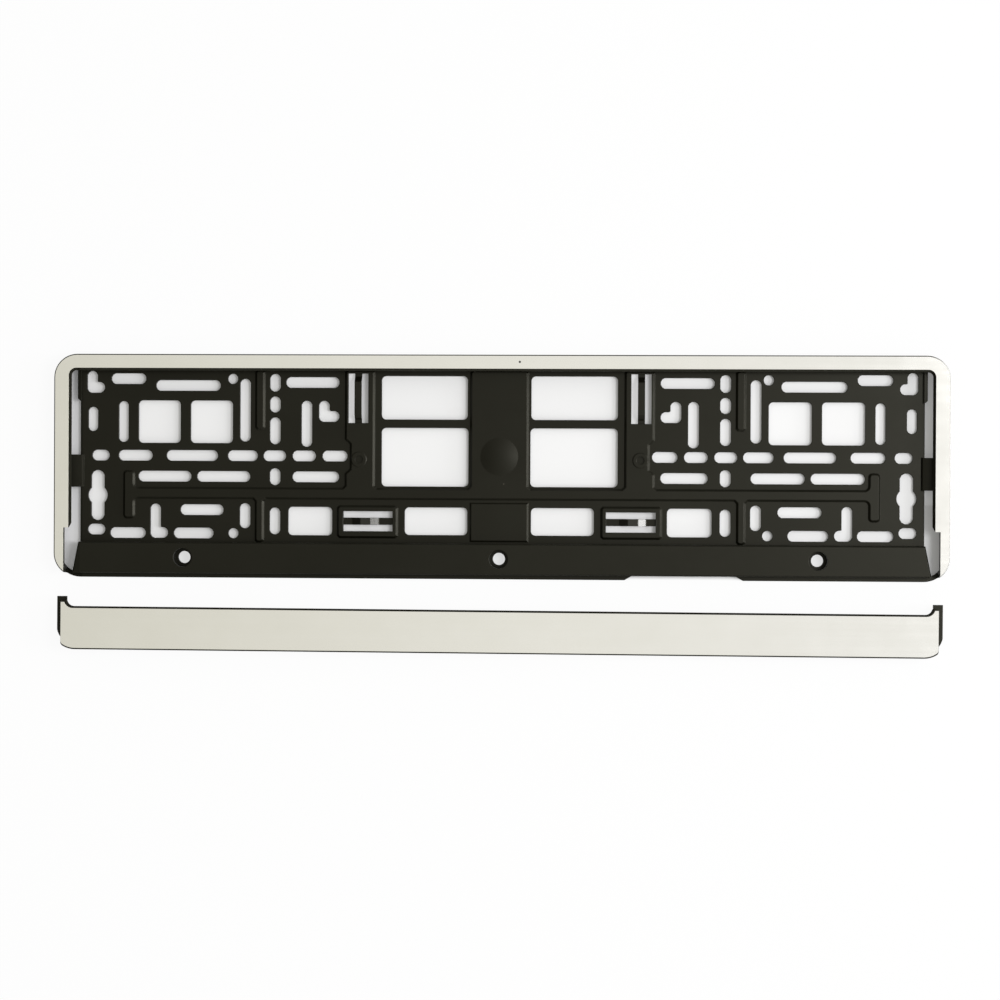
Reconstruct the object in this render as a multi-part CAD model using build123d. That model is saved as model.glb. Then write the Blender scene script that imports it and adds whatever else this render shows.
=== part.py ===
from build123d import *
from math import atan2, degrees
import os

# Number plate holder: a slotted carrier with a bright-faced lip, and the bright-faced bar that
# closes its lower edge, lying below it as when taken off. Millimetres, face up: X runs along
# the plate, Y up the plate, Z out of the car. The origin is the middle of the carrier's
# outline, on the plane of its back.

# The plate that the holder is made for, and the carrier round it
plate_length = 520.0
plate_height = 110.0
side_play = 4.0
edge_play = 0.3
wall = 2.0
corner_radius = 14.0
wall_draft = 0.6
ledge_width = 2.15
band_height = 18.55

# Levels, from the back
base_thickness = 2.2
plate_space = 7.6
lip_thickness = 1.8
facing_thickness = 0.4

# Lip in front of the plate: bright width, bevel inside it, and the strips that continue it below
side_facing = 8.7
top_facing = 8.25
facing_margin = 0.6
facing_corner_radius = 4.5
lip_bevel = 1.5
lip_end_height = 29.3
lip_nick = 2.8
strip_width = 6.1
strip_margin = 0.4

# Open slots between the base and the side walls, and the bridges that span them
side_slot = 12.0
bridge_length = 19.4
bridge_height = 42.6
bridge_foot = 2.8
bridge_thickness = 1.8
bridge_shoulder = 4.0
bridge_crest = 5.3
flare = 3.6
guide_width = 1.4
guide_length = 20.0
guide_rise = 2.0

# Openings hidden behind the top lip
core_count = 8
core_web = 12.0
core_height = 5.7

# Notch in the ledge for prising the bar off
notch_place = 110.0
notch_length = 70.6
notch_slant = 4.7

# Raised band that the bar closes over: hollow behind, with three sunk screw holes
band_rise = 6.8
band_wall = 2.0
band_edge = 0.7
screw_spacing = 189.0
screw_height = 9.55
screw_hole = 7.3
screw_sink = 11.2
screw_boss_wall = 2.0
band_rib = 1.6
band_rib_places = (63, 126, 220)

# Slot pattern on the right half. Places are counted from the middle, heights from the band.
slot_width = 6.4
slot_end_sides = 12
narrow_slot_width = 5.9
round_hole = 6.1
window_radius = 2.7
elbow_radius = 1.0
end_margin = 4.5
top_margin = 7.5
level_slots = (
    (98, 212.5, 233.5),
    (96, 96, 128),
    (94, 167.5, 206.5),
    (52, 91, 106),
    (52, 110, 124),
    (52, 128, 141.5),
    (52, 145, 163),
    (52, 169, 200),
    (52, 208.5, 229),
    (52, 234.5, 245),
    (39.5, 96, 124),
    (39.5, 149.5, 181.5),
    (39.5, 185, 217),
    (19.5, 165.5, 191.5),
    (7.5, 237, 247.5),
    (5.5, 171.5, 195.5),
    (5.5, 212.5, 234),
)
upright_slots = (
    (134.5, 90.5, 101),
    (134.5, 78, 87.5),
    (134.5, 59, 75),
    (134.5, 34.5, 44.5),
    (134.5, 5, 21),
    (152.5, 60.5, 98),
    (152.5, 8.5, 23.5),
    (115.5, 57.5, 85),
)
narrow_slots = ((226, 60, 84.5), (244.5, 66.5, 81))
elbow_slots = ((245, 89.5, 102.5, 237.5), (105, 72.5, 85, 96), (206.5, 2.5, 23, 199))
round_holes = ((160, 98), (159.5, 5.5))
windows = (
    (19, 70.5, 74, 100),
    (18.5, 70.5, 34, 69),
    (19, 56.5, 5, 21.5),
    (100, 126.5, 4.5, 21.5),
    (160, 185.5, 59.5, 85),
    (191.5, 217, 59.5, 85),
)
keyhole_place = (241.5, 28)
keyhole_length = 30.0
keyhole_width = 8.0
keyhole_head = 11.8

# Raised network on the front of the base, as left, right, lower and upper limits
network_rise = 1.4
network_slope = 45.0
network_edge = 1.2
network_corner = 2.4
waist_corner = 1.4
waist_flat = 0.1
panel_half_width = 17.5
lower_panel = (1, 24.5)
lower_panel_rise = 0.9
cross_rib = (26, 33)
stem = (219, 226, 14, 43)
column = (74.5, 92.5)
column_waist = (89.5, 43, 60.5)
upper_rib = (140.5, 146.5, 67.5)
lower_rib = (141, 146.5)
pad = (60.5, 97, 3, 22.5)
disc_height = 52.0
disc_radius = 11.3
disc_rise = 1.3
dimple_place = (84, 50)
dimple_ring = 9.4
dimple_ring_rise = 0.4
dimple_width = 4.7
dimple_depth = 0.9

# Bowed spring tongues that push the plate against the lip, between pairs of slots
tongue_width = 4.2
tongue_slot = 3.9
tongue_length = 29.6
tongue_thickness = 1.4
tongue_rise = 3.0
tongue_end_bend = 1.0
upper_tongue = (84.5, 86.6)
upper_tongue_foot = 2.0
upper_tongue_ramp = 3.0
lower_tongue = (78.5, 13.1)
lower_tongue_foot = 8.0
lower_tongue_tail = 5.5
lower_tongue_ramp = 5.0

# Bar that closes the lower edge, and how it lies
bar_height = 25.7
bar_thickness = 2.0
bar_fit = 0.3
bar_lap = 0.95
bar_lap_thickness = 0.7
bar_lap_gap = 0.1
bar_corner = 2.5
bar_margin = 0.8
bar_top_margin = 1.1
bar_bevel = 0.9
ear_height = 5.8
ear_tab_thickness = 2.0
ear_width = 6.4
ear_fillet = 4.2
ear_facing_inset = 1.7
end_wall = 2.0
wing = 3.7
flange = 1.2
flange_reach = 6.0
catch_places = (45, 105, 225)
catch_length = 16.0
catch_rise = 1.2
catch_height = 1.6
catch_level = 5.0
lay_across = -1.05
lay_down = -44.3
lay_turn = -0.2

half_width = plate_length / 2 + side_play + wall
half_height = (plate_height + edge_play + wall + band_height + ledge_width) / 2
band_bottom = ledge_width - half_height
band_top = band_bottom + band_height
wall_top = half_height - wall
lip_back = base_thickness + plate_space
lip_front = lip_back + lip_thickness
lip_end = lip_end_height - half_height
strip_edge = half_width - strip_width
base_edge = half_width - wall - side_slot
core_bottom = wall_top - core_height
band_front = base_thickness + band_rise
across = base_edge / (max(right for height, left, right in level_slots) + end_margin)
upward = plate_height / (max(top for place, bottom, top, foot in elbow_slots) + top_margin)


def area(left, right, bottom, top):
    return Pos((left + right) / 2, (bottom + top) / 2) * Rectangle(right - left, top - bottom)


def block(sketch, back, front):
    return Pos(0, 0, back) * extrude(sketch, front - back)


def both_sides(shape):
    return shape + mirror(shape, about=Plane.YZ)


def outline(inset=0.0):
    return RectangleRounded(2 * (half_width - inset), 2 * (half_height - inset), corner_radius - inset)


def pattern_height(height):
    return band_top + height * upward


def pattern_area(left, right, bottom, top):
    return area(left * across, right * across, pattern_height(bottom), pattern_height(top))


def slot(length, width, angle=0.0):
    """A long slot whose many-sided ends keep the pattern of over fifty slots light."""
    end = RegularPolygon(width / 2, slot_end_sides, major_radius=False, rotation=180 / slot_end_sides)
    run = length - width
    shape = Rectangle(run, width) + [Pos(side * run / 2, 0) * end for side in (-1, 1)]
    return Rot(0, 0, angle) * shape


def level_slot(height, left, right, width):
    middle = Pos((left + right) / 2 * across, pattern_height(height))
    return middle * slot((right - left) * across, width)


def upright_slot(place, bottom, top, width):
    middle = Pos(place * across, pattern_height((bottom + top) / 2))
    return middle * slot((top - bottom) * upward, width, 90)


def elbow_slot(place, bottom, top, foot):
    leg = upright_slot(place, bottom, top, slot_width)
    toe = pattern_height(bottom) + slot_width / 2
    foot_length = (place - foot) * across - slot_width / 2
    arm = Pos(place * across - foot_length / 2, toe) * slot(foot_length + slot_width, slot_width)
    bend = (place * across - slot_width / 2, toe + slot_width / 2, 0)
    joined = leg + arm
    straight = foot_length - slot_width / 2
    return fillet(joined.vertices().sort_by_distance(bend)[0], min(elbow_radius, straight / 2))


def window(left, right, bottom, top):
    place = Pos((left + right) / 2 * across, pattern_height((bottom + top) / 2))
    return place * RectangleRounded((right - left) * across, (top - bottom) * upward, window_radius)


def keyhole():
    place = Pos(keyhole_place[0] * across, pattern_height(keyhole_place[1]))
    return place * (slot(keyhole_length, keyhole_width, 90) + Circle(keyhole_head / 2))


def slot_pattern():
    shapes = [level_slot(*ends, slot_width) for ends in level_slots]
    shapes += [upright_slot(*ends, slot_width) for ends in upright_slots]
    shapes += [upright_slot(*ends, narrow_slot_width) for ends in narrow_slots]
    shapes += [elbow_slot(*ends) for ends in elbow_slots]
    shapes += [window(*limits) for limits in windows]
    shapes += [Pos(x * across, pattern_height(y)) * Circle(round_hole / 2) for x, y in round_holes]
    shapes.append(keyhole())
    return Sketch() + shapes


def lip_opening(grow):
    """The opening that the lip leaves above its ends, grown all round."""
    half = half_width - side_facing - lip_bevel + grow
    top = half_height - top_facing - lip_bevel + grow
    opening = area(-half, half, -2 * half_height, top)
    corners = opening.vertices().group_by(Axis.Y)[-1]
    return fillet(corners, facing_corner_radius - lip_bevel + grow)


def bar_bay(grow=0.0):
    """The opening below the lip's ends, between the corner strips."""
    return area(-strip_edge - grow, strip_edge + grow, -2 * half_height, lip_end)


def make_rim():
    """Outer wall and lip; the wall is cut down to the ledge between the strips."""
    draft = degrees(atan2(wall_draft, lip_back))
    shell = extrude(outline(-wall_draft), lip_back, taper=draft) - block(outline(wall), 0, lip_back)
    shell -= block(bar_bay(), base_thickness, lip_back)
    lip = block(outline() - lip_opening(0) - bar_bay(), lip_back, lip_front)
    lip -= Pos(0, 0, lip_front) * extrude(lip_opening(lip_bevel), -lip_bevel, taper=45)
    edge = half_width - side_facing
    nick = make_face(Polyline(
        (edge, lip_end),
        (edge - lip_bevel, lip_end + lip_nick),
        (edge - 2 * lip_bevel, lip_end),
        close=True,
    ))
    return shell + (lip - block(both_sides(nick), lip_back, lip_front))


def make_base():
    """Base sheet with its edges, tied to the outer wall at the top corners and along the ledge."""
    sheet = area(-base_edge, base_edge, band_bottom - ledge_width / 2, wall_top + wall / 2)
    tie = area(-half_width + wall / 2, half_width - wall / 2, core_bottom, wall_top + wall / 2)
    ledge = outline() - outline(ledge_width)
    ledge -= area(-half_width, half_width, lip_end, half_height)
    guide_bottom = core_bottom - guide_length
    guide = make_face(Polyline(
        (base_edge - guide_width / 2, guide_bottom),
        (base_edge, guide_bottom),
        (base_edge + guide_width, guide_bottom + guide_width),
        (base_edge + guide_width, core_bottom + wall / 2),
        (base_edge - guide_width / 2, core_bottom + wall / 2),
        close=True,
    ))
    base = block((sheet + tie + ledge + band_area()) & outline(), 0, base_thickness)
    base += both_sides(block(guide, 0, base_thickness + guide_rise))
    pitch = 2 * base_edge / core_count
    for index in range(core_count):
        left = -base_edge + index * pitch + core_web / 2
        base -= block(area(left, left + pitch - core_web, core_bottom, wall_top), 0, base_thickness)
    return base


def make_notch():
    """Opening through the ledge, up to the wall of the band."""
    outer = -half_height - wall_draft
    notch = make_face(Polyline(
        (notch_place - notch_length / 2, outer),
        (notch_place - notch_length / 2 + notch_slant, band_bottom),
        (notch_place + notch_length / 2 - notch_slant, band_bottom),
        (notch_place + notch_length / 2, outer),
        close=True,
    ))
    return block(notch, 0, base_thickness)


def make_bridge():
    """One bridge from the base's edge up and across to the side wall."""
    start = base_edge - bridge_foot
    finish = half_width - wall / 2
    middle = (start + finish) / 2
    lean = bridge_foot / 2
    profile = make_face(Curve() + [
        Line((start, 0), (start + lean, bridge_shoulder)),
        ThreePointArc((start + lean, bridge_shoulder), (middle, bridge_crest), (finish, bridge_shoulder)),
        Line((finish, bridge_shoulder), (finish, bridge_shoulder - bridge_thickness)),
        ThreePointArc(
            (finish, bridge_shoulder - bridge_thickness),
            (middle, bridge_crest - bridge_thickness),
            (base_edge + lean, bridge_shoulder - bridge_thickness),
        ),
        Line((base_edge + lean, bridge_shoulder - bridge_thickness), (base_edge, 0)),
        Line((base_edge, 0), (start, 0)),
    ])
    upright = Plane.XZ * profile
    return Pos(0, pattern_height(bridge_height) + bridge_length / 2, 0) * extrude(upright, bridge_length)


def make_network():
    """Sloped-sided ribs, columns, pads and panel standing on the base."""
    top = (core_bottom - wall / 2 - band_top) / upward
    waist_edge, waist_bottom, waist_top = column_waist
    limits = [
        (*column, cross_rib[0], waist_bottom),
        (column[0], waist_edge, cross_rib[0], top),
        (*column, waist_top, top),
        stem,
        (*upper_rib, top),
        (*lower_rib, 0, cross_rib[1]),
        pad,
    ]
    ribs = [both_sides(pattern_area(*limit)) for limit in limits]
    ribs.append(pattern_area(-stem[1], stem[1], *cross_rib))
    ribs.append(pattern_area(-panel_half_width, panel_half_width, cross_rib[0], top))
    plan = Sketch() + ribs
    stem_edge = (stem[0] - network_corner) * across
    plan = fillet([v for v in plan.vertices() if abs(v.X) > stem_edge], network_corner)
    waist_step = (column[1] - waist_edge) * across
    corner = min(waist_corner, (waist_step - waist_flat) / 2)
    plan = chamfer([v for v in plan.vertices() if abs(v.X) < stem_edge], corner)
    raised = []
    for face in plan.faces():
        rib = extrude(face, network_rise)
        raised.append(chamfer(rib.edges().group_by(Axis.Z)[-1], network_edge))
    lower = pattern_area(-panel_half_width, panel_half_width, *lower_panel)
    raised.append(extrude(lower, lower_panel_rise, taper=network_slope))
    sphere_radius = (disc_radius**2 + disc_rise**2) / (2 * disc_rise)
    disc_foot = Pos(0, pattern_height(disc_height), network_rise)
    dome = Pos(0, 0, disc_rise - sphere_radius) * Sphere(sphere_radius)
    disc = extrude(Circle(disc_radius), disc_rise) & dome
    ring = Pos(dimple_place[0] * across, pattern_height(dimple_place[1])) * Circle(dimple_ring / 2)
    ring = Pos(0, 0, network_rise) * extrude(ring, dimple_ring_rise, taper=network_slope)
    return Pos(0, 0, base_thickness) * (Part() + raised + disc_foot * disc + both_sides(ring))


def screw_circles(width):
    row = [Pos(step * screw_spacing, band_bottom + screw_height) * Circle(width / 2) for step in (-1, 0, 1)]
    return Sketch() + row


def band_area(inset=0.0):
    """Front view of the band, whose ends spread towards the lower edge."""
    return make_face(Polyline(
        (base_edge - inset, band_top - inset),
        (base_edge + flare - inset, band_bottom + inset),
        (-base_edge - flare + inset, band_bottom + inset),
        (-base_edge + inset, band_top - inset),
        close=True,
    ))


def make_band():
    """Raised band along the lower edge, as a block with its front edges broken."""
    band = block(band_area(), 0, band_front)
    return chamfer(band.edges().group_by(Axis.Z)[-1], band_edge)


def band_hollows():
    """Hollow behind the band, screw holes, and windows for the bar's catches."""
    hollow = band_area(band_wall) - screw_circles(screw_sink + 2 * screw_boss_wall)
    for place in band_rib_places:
        rib = area(place - band_rib / 2, place + band_rib / 2, band_bottom, band_top)
        hollow -= both_sides(rib)
    cuts = block(hollow, 0, band_front - band_wall)
    cuts += block(screw_circles(screw_sink), base_thickness, band_front)
    cuts += block(screw_circles(screw_hole), 0, base_thickness)
    reach = catch_length / 2 + bar_fit
    for place in catch_places:
        slit = area(place - reach, place + reach, band_bottom, band_bottom + band_wall)
        half = catch_height / 2 + bar_fit
        cuts += both_sides(block(slit, catch_level - half, catch_level + half))
    return cuts


def tongue_profile(foot, tail, ramp):
    """Side view of a bowed tongue, from the start of its slots, let into the base at both ends."""
    crest = base_thickness + tongue_rise
    front = [
        (-wall / 2, base_thickness),
        (foot, base_thickness),
        (foot + ramp, crest),
        (tongue_length - tail - ramp, crest),
        (tongue_length - tail, base_thickness),
        (tongue_length + wall / 2, base_thickness),
    ]
    back = [(along, level - tongue_thickness) for along, level in front]
    return make_face(Curve() + [
        FilletPolyline(*front, radius=tongue_end_bend),
        Line(front[-1], back[-1]),
        FilletPolyline(*back, radius=tongue_end_bend),
        Line(back[0], front[0]),
    ])


def make_tongues():
    """Both tongues of the right half, and the openings that free them."""
    free_width = tongue_width + 2 * tongue_slot
    upper_x = upper_tongue[0] * across
    upper_y = pattern_height(upper_tongue[1])
    lower_x = lower_tongue[0] * across
    lower_y = pattern_height(lower_tongue[1])
    openings = Pos(upper_x, upper_y) * Rectangle(free_width, tongue_length)
    openings += Pos(lower_x, lower_y) * Rectangle(tongue_length, free_width)
    upper_side = Plane.YZ * tongue_profile(upper_tongue_foot, upper_tongue_foot, upper_tongue_ramp)
    lower_side = Plane.XZ * tongue_profile(lower_tongue_foot, lower_tongue_tail, lower_tongue_ramp)
    upper_start = Pos(upper_x - tongue_width / 2, upper_y - tongue_length / 2, 0)
    lower_start = Pos(lower_x - tongue_length / 2, lower_y + tongue_width / 2, 0)
    upper = upper_start * extrude(upper_side, tongue_width)
    lower = lower_start * extrude(lower_side, tongue_width)
    return openings, upper + lower


def make_carrier():
    carrier = make_base() + make_rim() + make_network() + both_sides(make_bridge()) + make_band()
    openings, tongues = make_tongues()
    through = both_sides(slot_pattern() + openings)
    carrier -= block(through, 0, band_front)
    carrier -= band_hollows()
    carrier -= make_notch()
    dimple = Pos(dimple_place[0] * across, pattern_height(dimple_place[1])) * Circle(dimple_width / 2)
    network_front = base_thickness + network_rise + dimple_ring_rise
    carrier -= both_sides(block(dimple, network_front - dimple_depth, network_front))
    return carrier + both_sides(tongues)


def make_carrier_facing():
    bright = outline(facing_margin) - lip_opening(lip_bevel) - bar_bay(strip_margin)
    return block(bright, lip_front, lip_front + facing_thickness)


bar_end = strip_edge - bar_fit
lap_end = bar_end + bar_lap
wing_end = bar_end + wing
bar_top = bar_height - half_height
lap_back = lip_front + facing_thickness + bar_lap_gap
bar_level = lap_back + bar_lap_thickness
bar_back = bar_level - bar_thickness
bar_middle = bar_level - bar_thickness / 2
ear_inner = wing_end - ear_width
ear_face_top = lip_end - bar_fit
ear_top = bar_top + ear_height
tuck_front = lip_back - bar_fit


def bar_front(inset, top, ear_edge, end, bend):
    """Front outline of the bar: the lower part of the carrier's outline with an ear at each end."""
    front = outline(inset) & area(-end, end, -half_height, top)
    corners = front.vertices().group_by(Axis.Y)[1]
    front = fillet(corners, bar_corner)
    front += both_sides(area(ear_edge, end, top, ear_top))
    inner = [v for v in front.vertices() if abs(v.Y - top) < bar_fit and abs(v.X) < end - bar_fit]
    front = fillet(inner, bend)
    return front - area(-half_width, half_width, ear_face_top - inset, half_height)


def make_bar():
    """Bar in its fitted place: front plate, end walls with wings, ear tabs, and a flange with catches."""
    plate = block(bar_front(0, bar_top, ear_inner, lap_end, ear_fillet), bar_back, bar_level)
    rim = plate.edges().group_by(Axis.Z)[-1]
    upper = [e for e in rim if (e @ 0.5).Y > bar_top - bar_fit and abs((e @ 0.5).X) < ear_inner]
    bar = chamfer(upper, bar_bevel)
    bar -= both_sides(block(area(bar_end, lap_end, -half_height, ear_top), bar_back, lap_back))
    inside = outline(ledge_width + bar_fit)
    wall_inner = bar_end - end_wall
    wing_area = area(wall_inner, wing_end, -half_height, bar_top) & inside
    wall_area = area(wall_inner, bar_end, -half_height, bar_top) & inside
    tab_back = tuck_front - ear_tab_thickness
    ends = block(wing_area, bar_fit, tuck_front)
    ends += block(wall_area, bar_fit, bar_middle)
    ends += block(area(wall_inner, wing_end, bar_top - end_wall, ear_top), tab_back, tuck_front)
    ends += block(area(wall_inner, bar_end, bar_top - end_wall, ear_face_top), tab_back, bar_middle)
    bar += both_sides(ends)
    flange_back = band_bottom - bar_fit - flange
    flange_end = base_edge - flange_reach
    flange_area = area(-flange_end, flange_end, flange_back, flange_back + flange)
    bar += block(flange_area, base_thickness + bar_fit, bar_middle)
    ridge = make_face(Polyline(
        (flange_back + flange / 2, catch_level - catch_height / 2),
        (flange_back + flange, catch_level - catch_height / 2),
        (flange_back + flange + catch_rise, catch_level),
        (flange_back + flange, catch_level + catch_height / 2),
        (flange_back + flange / 2, catch_level + catch_height / 2),
        close=True,
    ))
    for place in catch_places:
        catch = Pos(place - catch_length / 2, 0, 0) * extrude(Plane.YZ * ridge, catch_length)
        bar += both_sides(catch)
    return bar


def make_bar_facing():
    ear_edge = ear_inner + ear_facing_inset
    bend = ear_fillet + bar_top_margin
    bright = bar_front(bar_margin, bar_top - bar_top_margin, ear_edge, lap_end - bar_fit / 2, bend)
    return block(bright, bar_level, bar_level + facing_thickness)


def lay_down_bar(shape):
    middle = bar_top - bar_height / 2
    laid = Rot(0, 0, lay_turn) * Pos(0, -middle, 0) * shape
    return Pos(lay_across, middle + lay_down, -bar_fit) * laid


os.makedirs("parts", exist_ok=True)
export_step(make_carrier(), "parts/carrier.step")
export_step(make_carrier_facing(), "parts/carrier_facing.step")
export_step(lay_down_bar(make_bar()), "parts/retaining_bar.step")
export_step(lay_down_bar(make_bar_facing()), "parts/bar_facing.step")
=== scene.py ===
import math
import bpy
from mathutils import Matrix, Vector

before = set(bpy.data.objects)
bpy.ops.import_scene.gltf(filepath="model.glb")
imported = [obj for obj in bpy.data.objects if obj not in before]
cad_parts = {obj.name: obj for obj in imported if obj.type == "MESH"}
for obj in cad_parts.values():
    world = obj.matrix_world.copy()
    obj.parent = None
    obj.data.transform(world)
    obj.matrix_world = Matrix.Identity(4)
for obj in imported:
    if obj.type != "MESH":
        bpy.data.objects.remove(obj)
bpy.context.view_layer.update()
print("frame loaded:", ", ".join(sorted(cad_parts)))


class Sock:
    # one output socket, so that shader maths reads as plain expressions
    def __init__(self, tree, out):
        self.tree = tree
        self.out = out

    def maths(self, operation, *values):
        return self.tree.node("ShaderNodeMath", {"operation": operation}, dict(enumerate(values)))

    def __add__(self, other):
        return self.maths("ADD", self, other)

    def __radd__(self, other):
        return self.maths("ADD", other, self)

    def __sub__(self, other):
        return self.maths("SUBTRACT", self, other)

    def __rsub__(self, other):
        return self.maths("SUBTRACT", other, self)

    def __mul__(self, other):
        return self.maths("MULTIPLY", self, other)

    def __rmul__(self, other):
        return self.maths("MULTIPLY", other, self)

    def size(self):
        return self.maths("ABSOLUTE", self)

    def atLeast(self, low):
        return self.maths("MAXIMUM", self, low)

    def atMost(self, high):
        return self.maths("MINIMUM", self, high)

    def root(self):
        return self.maths("SQRT", self)


class ShaderTree:
    def __init__(self, owner):
        owner.use_nodes = True
        self.nodes = owner.node_tree.nodes
        self.links = owner.node_tree.links
        self.nodes.clear()

    # any node: its type, its settings, then its inputs; gives back one of its outputs
    def node(self, kind, settings=None, inputs=None, output=0):
        made = self.nodes.new(kind)
        for key, value in (settings or {}).items():
            setattr(made, key, value)
        for key, value in (inputs or {}).items():
            if isinstance(value, Sock):
                self.links.new(value.out, made.inputs[key])
            else:
                made.inputs[key].default_value = value
        return Sock(self, made.outputs[output]) if made.outputs else None

    # place on the piece, stretched by a scale along each axis
    def place(self, scale=(1, 1, 1)):
        coords = self.node("ShaderNodeTexCoord", output="Object")
        return self.node("ShaderNodeMapping", {}, {"Vector": coords, "Scale": scale})

    def axis(self, vector, index):
        return self.node("ShaderNodeSeparateXYZ", {}, {"Vector": vector}, output=index)

    def noise(self, vector, scale, detail=3.0, roughness=0.55):
        inputs = {"Vector": vector, "Scale": scale, "Detail": detail, "Roughness": roughness}
        return self.node("ShaderNodeTexNoise", {"noise_dimensions": "3D"}, inputs)

    def mix(self, share, first, second):
        settings = {"data_type": "RGBA", "blend_type": "MIX"}
        return self.node("ShaderNodeMix", settings, {0: share, 6: first, 7: second}, output=2)

    def spread(self, value, low, high, toLow=0.0, toHigh=1.0):
        inputs = {"Value": value, "From Min": low, "From Max": high, "To Min": toLow, "To Max": toHigh}
        return self.node("ShaderNodeMapRange", {"clamp": True}, inputs)

    # how far a place is beyond a rounded oblong round the middle
    def beyond(self, x, y, halfX, halfY, corner):
        overX = (x.size() - (halfX - corner)).atLeast(0.0)
        overY = (y.size() - (halfY - corner)).atLeast(0.0)
        return (overX * overX + overY * overY).root() - corner


# black moulded plastic: satin skin with a fine grain, faint flow of the melt, edges a little
# rounded by the tool, a few pale specks of dust, the two lower spring tongues polished, the
# inside of the left edge dull, and the bright foil drawn a little over the right edge
plasticLook = {
    "dark": (0.0030, 0.0028, 0.0013, 1.0),
    "light": (0.0046, 0.0044, 0.0025, 1.0),
    "dust": (0.16, 0.15, 0.12, 1.0),
    "roughness": (0.38, 0.47),
    "specular": 0.195,
    "tint": (1.0, 0.98, 0.84, 1.0),
    "edgeRadius": 0.0004,
    "polish": 0.5,
    "tongueMiddle": (0.0790, -0.0331, 0.0030),
    "tongueHalf": (0.0150, 0.0025),
    "tongueFade": (0.0004, 0.0002),
    "tongueLevel": (-0.0006, -0.0004),
    "rimColour": (0.27, 0.267, 0.258, 1.0),
    "rimOutline": (0.2660, 0.0665, 0.014),
    "rimFrom": (0.255, 0.262),
    "rimBottom": (-0.0690, -0.0680),
    "rimFade": (-0.0009, -0.0006),
    "rimLevel": (0.0110, 0.0112),
    "dullStrip": (-0.2595, -0.2505),
    "dullFade": 0.0005,
    "dullRoughness": 0.5,
    "cloudScale": 14.0,
    "smudgeScale": 42.0,
    "speckScale": 95.0,
    "speckSize": (0.045, 0.02),
    "loneScale": 21.0,
    "lonePart": (0.60, 0.64),
    "dustShare": 0.5,
    "coatRoughness": 0.12,
    "grainScale": 1700.0,
    "grainDepth": 0.000012,
    "grainStrength": 0.5,
    "flowStretch": (9.0, 60.0, 60.0),
}


def makeBlackPlastic():
    look = plasticLook
    material = bpy.data.materials.new("blackPlastic")
    tree = ShaderTree(material)
    whole = tree.place()
    cloud = tree.noise(whole, look["cloudScale"])
    flow = tree.noise(tree.place(look["flowStretch"]), 1.0, detail=4.0)
    grain = tree.noise(whole, look["grainScale"], detail=2.0)
    smudge = tree.noise(whole, look["smudgeScale"], detail=5.0, roughness=0.65)
    tone = tree.spread(cloud * 0.6 + flow * 0.4, 0.35, 0.65)
    skin = tree.mix(tone, look["dark"], look["light"])
    cells = {"Vector": whole, "Scale": look["speckScale"]}
    speck = tree.node("ShaderNodeTexVoronoi", {"feature": "F1"}, cells)
    lone = tree.noise(whole, look["loneScale"], detail=1.0)
    dust = tree.spread(speck, *look["speckSize"]) * tree.spread(lone, *look["lonePart"])
    x, y, z = [tree.axis(whole, index) for index in range(3)]
    rim = tree.spread(tree.beyond(x, y, *look["rimOutline"]), *look["rimFade"])
    rim = rim * tree.spread(x, *look["rimFrom"]) * tree.spread(y, *look["rimBottom"])
    rim = rim * tree.spread(z, *look["rimLevel"])
    dusty = tree.mix(dust * look["dustShare"], skin, look["dust"])
    colour = tree.mix(rim, dusty, look["rimColour"])
    low, high = look["roughness"]
    rough = tree.spread(smudge * 0.7 + grain * 0.3, 0.35, 0.68, low, high)
    outer, inner = look["dullStrip"]
    fade = look["dullFade"]
    dull = tree.spread(x, inner, inner - fade) * tree.spread(x, outer - fade, outer)
    rough = (rough + dull * look["dullRoughness"]).atMost(1.0)
    middle = look["tongueMiddle"]
    halfLength, halfWidth = look["tongueHalf"]
    fadeLength, fadeWidth = look["tongueFade"]
    along = (x.size() - middle[0]).size()
    aside = (y - middle[1]).size()
    polish = tree.spread(along, halfLength, halfLength - fadeLength)
    polish = polish * tree.spread(aside, halfWidth, halfWidth - fadeWidth)
    polish = polish * tree.spread(z - middle[2], *look["tongueLevel"])
    edge = tree.node("ShaderNodeBevel", {"samples": 6}, {"Radius": look["edgeRadius"]})
    bump = tree.node("ShaderNodeBump", {}, {
        "Strength": look["grainStrength"],
        "Distance": look["grainDepth"],
        "Height": grain,
        "Normal": edge,
    })
    shader = tree.node("ShaderNodeBsdfPrincipled", {}, {
        "Base Color": colour,
        "Metallic": rim,
        "Roughness": rough,
        "Specular IOR Level": look["specular"],
        "Specular Tint": look["tint"],
        "Coat Weight": polish * look["polish"],
        "Coat Roughness": look["coatRoughness"],
        "Normal": bump,
    })
    tree.node("ShaderNodeOutputMaterial", {}, {"Surface": shader})
    return material


# bright foil: warm white metal, almost a mirror, with a soft waviness from the moulding below,
# faint lengthwise rub marks, dull cut edges and one dark pinhole in the top strip
foilLook = {
    "bright": (0.90, 0.89, 0.865, 1.0),
    "dull": (0.88, 0.87, 0.84, 1.0),
    "pinhole": (0.03, 0.03, 0.025, 1.0),
    "pinholePlace": (0.01233, 0.0623),
    "pinholeRadius": 0.0009,
    "roughness": (0.10, 0.14),
    "rubStretch": (6.0, 420.0, 420.0),
    "waveScale": 20.0,
    "waveDepth": 0.00003,
    "waveStrength": 0.3,
    "hazeScale": 55.0,
    "cutSteepness": (0.9, 0.7),
    "cutEdge": (0.52, 0.51, 0.47, 1.0),
    "cutRoughness": 0.45,
}


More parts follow.
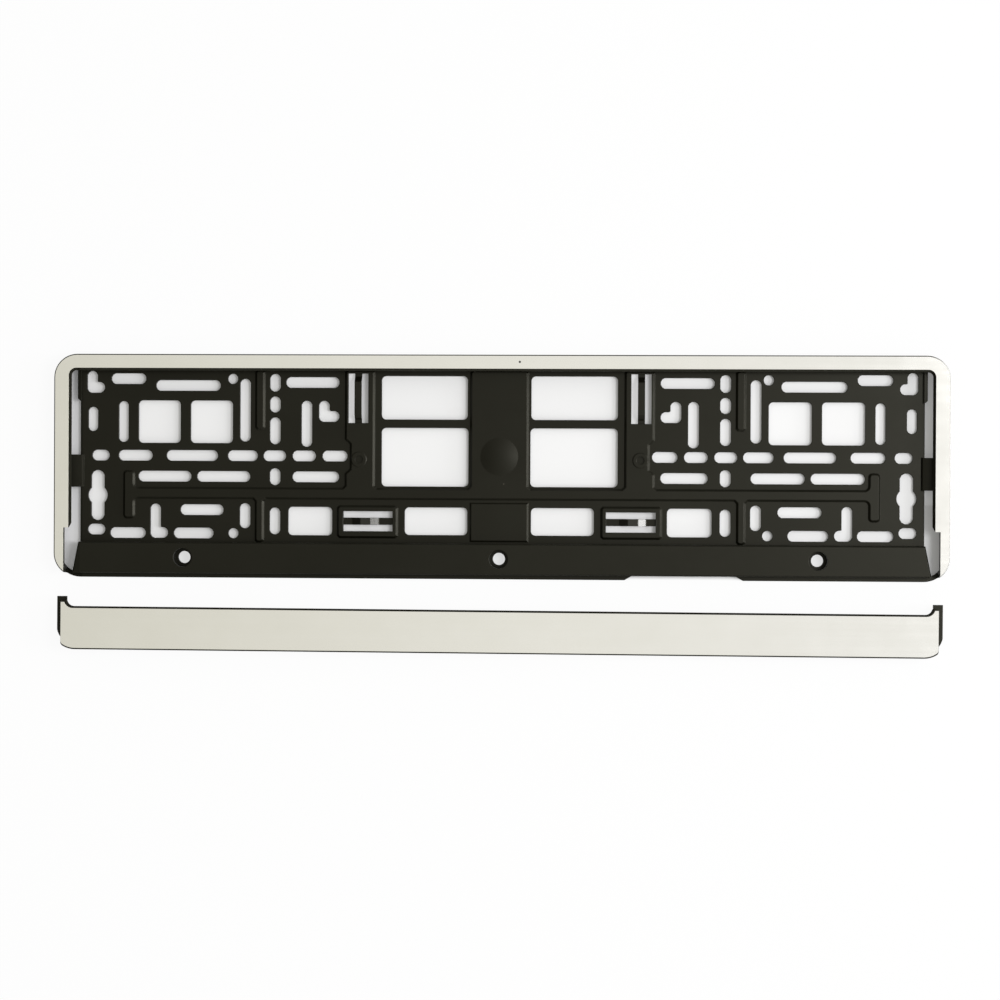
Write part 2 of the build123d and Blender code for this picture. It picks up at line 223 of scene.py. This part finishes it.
def makeBrightFoil():
    look = foilLook
    material = bpy.data.materials.new("brightFoil")
    tree = ShaderTree(material)
    whole = tree.place()
    rub = tree.noise(tree.place(look["rubStretch"]), 1.0, detail=3.0)
    wave = tree.noise(whole, look["waveScale"], detail=2.0)
    haze = tree.noise(whole, look["hazeScale"], detail=4.0)
    x = tree.axis(whole, 0) - look["pinholePlace"][0]
    y = tree.axis(whole, 1) - look["pinholePlace"][1]
    away = (x * x + y * y).root()
    pinhole = tree.spread(away, look["pinholeRadius"], look["pinholeRadius"] * 0.6)
    film = tree.mix(tree.spread(haze * 0.7 + rub * 0.3, 0.35, 0.65), look["dull"], look["bright"])
    facing = tree.node("ShaderNodeNewGeometry", output="Normal")
    cut = tree.spread(tree.axis(facing, 2).size(), *look["cutSteepness"])
    colour = tree.mix(pinhole, tree.mix(cut, film, look["cutEdge"]), look["pinhole"])
    low, high = look["roughness"]
    rough = tree.spread(rub * 0.5 + haze * 0.5, 0.35, 0.65, low, high) + cut * look["cutRoughness"]
    bump = tree.node("ShaderNodeBump", {}, {
        "Strength": look["waveStrength"],
        "Distance": look["waveDepth"],
        "Height": wave,
    })
    shader = tree.node("ShaderNodeBsdfPrincipled", {}, {
        "Base Color": colour,
        "Metallic": (1.0 - pinhole) * (1.0 - cut),
        "Roughness": rough,
        "Normal": bump,
    })
    tree.node("ShaderNodeOutputMaterial", {}, {"Surface": shader})
    return material


def dress(node, material):
    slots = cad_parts[node].data.materials
    slots.clear()
    slots.append(material)


blackPlastic = makeBlackPlastic()
brightFoil = makeBrightFoil()
for name in ("carrier", "retaining_bar"):
    dress(name, blackPlastic)
for name in ("carrier_facing", "bar_facing"):
    dress(name, brightFoil)
print("materials on the four nodes")


# white table that glows up to the paper white of the photograph round the holder and less inside it
tableLook = {
    "size": 24.0,
    "colour": (0.65, 0.651, 0.664, 1.0),
    "cutOut": 0.93,
    "inGlow": 0.11,
    "halfLength": 0.265,
    "halfHeight": 0.0655,
    "corner": 0.014,
    "cutOutFade": (-0.0005, 0.0015),
    "spotEdge": 0.001,
    # painted light on the table below the openings, a glow that lifts the shade under them: middle,
    # half size, glow
    "paintedLightSpots": (
        ((-0.189, -0.0548), (0.0060, 0.0060), 0.5),
        ((0.0, -0.0548), (0.0060, 0.0060), 0.5),
        ((0.189, -0.0548), (0.0060, 0.0060), 0.5),
        ((-0.0886, 0.0404), (0.0035, 0.0165), 0.27),
        ((0.0804, 0.0404), (0.0035, 0.0165), 0.30),
        ((0.2575, 0.0180), (0.0070, 0.0400), 0.08),
    ),
}


def makeTable():
    look = tableLook
    bpy.ops.object.select_all(action="DESELECT")
    bpy.ops.mesh.primitive_plane_add(size=look["size"], location=(0, 0, 0))
    table = bpy.context.object
    table.name = "table"
    material = bpy.data.materials.new("whiteTable")
    tree = ShaderTree(material)
    whole = tree.place()
    x = tree.axis(whole, 0)
    y = tree.axis(whole, 1)
    over = tree.beyond(x, y, look["halfLength"], look["halfHeight"], look["corner"])
    outside = tree.spread(over, *look["cutOutFade"])
    glow = look["inGlow"] + outside * (look["cutOut"] - look["inGlow"])
    # painted light: a glow patch below each screw hole, each upper tongue slot and the right side gap
    # lightens the shade there
    for (spotX, spotY), (halfX, halfY), level in look["paintedLightSpots"]:
        across = tree.spread((x - spotX).size(), halfX, halfX - look["spotEdge"])
        along = tree.spread((y - spotY).size(), halfY, halfY - look["spotEdge"])
        glow = glow + across * along * level
    seen = tree.node("ShaderNodeLightPath", output="Is Camera Ray")
    mirrored = tree.node("ShaderNodeLightPath", output="Is Glossy Ray")
    through = tree.node("ShaderNodeLightPath", output="Is Transmission Ray")
    paper = tree.node("ShaderNodeBsdfDiffuse", {}, {"Color": look["colour"]})
    white = tree.node("ShaderNodeEmission", {}, {"Strength": 1.0})
    share = glow * (seen + mirrored + through)
    surface = tree.node("ShaderNodeMixShader", {}, {0: share, 1: paper, 2: white})
    tree.node("ShaderNodeOutputMaterial", {}, {"Surface": surface})
    table.data.materials.append(material)


# dim warm sky on the left, plain and bright low down on the right and in front, and two windows
lightSetup = {
    "warm": (1.0, 0.985, 0.87, 1.0),
    "plain": (1.0, 0.997, 0.975, 1.0),
    "leftLevel": 0.10,
    "overhead": (0.70, 0.16, 0.06),
    "overheadFrom": (-0.8, -0.25, -0.03, 0.15),
    "warmToPlain": (-0.25, 0.2),
    "rightLevel": 9.0,
    "frontLevel": 1.4,
    "sideways": (0.8, 0.96),
    "lowDown": (0.42, 0.2),
    "windows": (
        {"name": "highWindow", "place": (0.80, 0.10, 1.20), "size": 0.5, "power": 11.0},
        {"name": "lowWindow", "place": (1.70, -0.06, 0.95), "size": 0.32, "power": 12.0},
    ),
}


def makeLight():
    setup = lightSetup
    world = bpy.data.worlds.new("softStudio")
    bpy.context.scene.world = world
    tree = ShaderTree(world)
    towards = tree.node("ShaderNodeTexCoord", output="Generated")
    toRight = tree.axis(towards, 0)
    toFront = tree.axis(towards, 1) * -1.0
    high = tree.axis(towards, 2)
    low = tree.spread(high, *setup["lowDown"])
    colour = tree.mix(tree.spread(toRight, *setup["warmToPlain"]), setup["warm"], setup["plain"])
    farLeft, left, middle, right = setup["overheadFrom"]
    first, second, third = setup["overhead"]
    level = tree.spread(toRight, farLeft, left, setup["leftLevel"], first)
    level = level + tree.spread(toRight, left, middle, 0.0, second)
    level = level + tree.spread(toRight, middle, right, 0.0, third)
    level = level + tree.spread(toFront, *setup["sideways"], 0.0, setup["frontLevel"]) * low
    level = level + tree.spread(toRight, *setup["sideways"], 0.0, setup["rightLevel"]) * low
    sky = tree.node("ShaderNodeBackground", {}, {"Color": colour, "Strength": level})
    tree.node("ShaderNodeOutputWorld", {}, {"Surface": sky})
    for window in setup["windows"]:
        bpy.ops.object.light_add(type="AREA", location=window["place"])
        lamp = bpy.context.object
        lamp.name = window["name"]
        lamp.data.size = window["size"]
        lamp.data.energy = window["power"]
        lamp.rotation_euler = (-Vector(window["place"])).to_track_quat("-Z", "Y").to_euler()


# camera of the photograph: place in metres, turn in degrees, lens and sensor in millimetres
cameraSetup = {
    "place": (0.0640, -0.0121, 1.4269),
    "turn": (-0.2900, 2.5531, 0.2718),
    "lens": 86.04,
    "sensor": 36.0,
}


def makeCamera():
    setup = cameraSetup
    turn = [math.radians(angle) for angle in setup["turn"]]
    bpy.ops.object.camera_add(location=setup["place"], rotation=turn)
    camera = bpy.context.object
    camera.name = "photoCamera"
    camera.data.sensor_width = setup["sensor"]
    camera.data.lens = setup["lens"]
    bpy.context.scene.camera = camera


makeTable()
makeLight()
makeCamera()
bpy.context.scene.view_settings.view_transform = "Standard"
print("table, light and camera placed")
